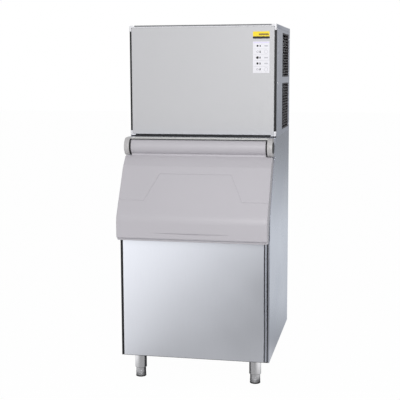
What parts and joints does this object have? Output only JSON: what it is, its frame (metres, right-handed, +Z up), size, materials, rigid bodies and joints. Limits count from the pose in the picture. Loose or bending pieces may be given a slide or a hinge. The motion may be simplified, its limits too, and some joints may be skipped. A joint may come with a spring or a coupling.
{
  "type": "ice cube machine",
  "caption": "Modular ice maker head on an insulated storage bin with a slanted lift-up door and round adjustable legs.",
  "frame": {"origin": "on the floor, under the middle of the machine's outline", "axes": "+X to the machine's right as seen from the front, +Y to the back, +Z up"},
  "size_m": [0.76, 0.935, 1.805],
  "materials": {
    "bin_steel": "brushed stainless sheet",
    "front_steel": "brushed stainless sheet, upright grain",
    "black_plastic": "black moulded plastic",
    "grille_black": "black louvred plastic",
    "foam": "rigid foam",
    "liner_plastic": "smooth white lining",
    "door_plastic": "warm grey moulded plastic, soft sheen",
    "hood_plastic": "pale grey moulded plastic",
    "gasket_rubber": "soft rubber",
    "leg_steel": "turned stainless tube",
    "head_panel": "smooth light grey coating",
    "corner_plastic": "pale moulded plastic",
    "head_steel": "brushed stainless sheet",
    "zinc_sheet": "zinc coated sheet",
    "yellow_plate": "printed plate",
    "white_plate": "printed plate",
    "copper": "bare copper tube",
    "plated_metal": "bright plated metal",
    "white_plastic": "white moulded plastic",
    "clear_plastic": "milky clear sheet",
    "hose_rubber": "grey hose",
    "black_paint": "black paint",
    "fin_aluminium": "bare fins",
    "switch_steel": "bright plated"
  },
  "bodies": {
    "cabinet": {"bin_side_left": "bin_steel", "bin_side_right": "bin_steel", "bin_back": "zinc_sheet", "bin_base": "zinc_sheet", "bin_front_surround": "black_plastic", "bin_front_panel": "front_steel", "front_corner_trim": "bin_steel", "bin_foam": "foam", "bin_liner": "liner_plastic", "mouth_frame": "liner_plastic", "bin_top_deck": "bin_steel", "bin_drain": "white_plastic", "hood": "hood_plastic", "hinge_caps": "hood_plastic", "hinge_pins": "black_plastic", "legs": "leg_steel", "head_base": "zinc_sheet", "head_side_right": "head_steel", "head_side_left": "head_steel", "head_posts": "head_steel", "head_back": "zinc_sheet", "top_cover": "head_steel", "front_surround": "black_plastic", "front_panel": "head_panel", "corner_blocks": "corner_plastic", "grille_upper": "grille_black", "grille_lower": "grille_black", "name_plate": "yellow_plate", "status_panel": "white_plate", "partition": "zinc_sheet", "evaporator_frame": "white_plastic", "evaporator_plate": "plated_metal", "evaporator_coil": "copper", "water_distributor": "white_plastic", "water_trough": "white_plastic", "water_pump": "black_plastic", "pump_hose": "hose_rubber", "float_switch": "white_plastic", "inlet_valve": "white_plastic", "drain_hose": "hose_rubber", "compressor": "black_paint", "compressor_mounts": "gasket_rubber", "condenser": "fin_aluminium", "fan_shroud": "zinc_sheet", "fan_motor": "black_paint", "filter_drier": "copper", "refrigerant_lines": "copper", "control_box": "zinc_sheet"},
    "door": {"door_shell": "door_plastic", "door_liner": "liner_plastic", "door_foam": "foam", "door_gasket": "gasket_rubber"},
    "foot_front_left": {"foot_fl": "leg_steel"},
    "foot_front_right": {"foot_fr": "leg_steel"},
    "foot_back_left": {"foot_bl": "leg_steel"},
    "foot_back_right": {"foot_br": "leg_steel"},
    "fan": {"fan_blade": "plated_metal"},
    "curtain": {"ice_curtain": "clear_plastic"},
    "float": {"float_ball": "white_plastic"},
    "switch_lever": {"mode_lever": "switch_steel"}
  },
  "joints": [
    {"name": "door_hinge", "type": "hinge", "parent": "cabinet", "child": "door", "pos_m": [0, -0.2635, 1.195], "axis": [-1, 0, 0], "range_deg": [0, 100]},
    {"name": "foot_front_left_height", "type": "slide", "parent": "cabinet", "child": "foot_front_left", "axis": [0, 0, -1], "range_m": [-0.015, 0.025]},
    {"name": "foot_front_right_height", "type": "slide", "parent": "cabinet", "child": "foot_front_right", "axis": [0, 0, -1], "range_m": [-0.015, 0.025]},
    {"name": "foot_back_left_height", "type": "slide", "parent": "cabinet", "child": "foot_back_left", "axis": [0, 0, -1], "range_m": [-0.015, 0.025]},
    {"name": "foot_back_right_height", "type": "slide", "parent": "cabinet", "child": "foot_back_right", "axis": [0, 0, -1], "range_m": [-0.015, 0.025]},
    {"name": "fan_spin", "type": "hinge", "parent": "cabinet", "child": "fan", "pos_m": [0.272, 0.2405, 1.395], "axis": [1, 0, 0], "continuous": true},
    {"name": "curtain_hinge", "type": "hinge", "parent": "cabinet", "child": "curtain", "pos_m": [-0.16, -0.0575, 1.728], "axis": [-1, 0, 0], "range_deg": [0, 12]},
    {"name": "float_slide", "type": "slide", "parent": "cabinet", "child": "float", "axis": [0, 0, 1], "range_m": [0, 0.026]},
    {"name": "switch_tilt", "type": "hinge", "parent": "cabinet", "child": "switch_lever", "pos_m": [0.13, -0.1425, 1.64], "axis": [1, 0, 0], "range_deg": [-12, 12]}
  ]
}
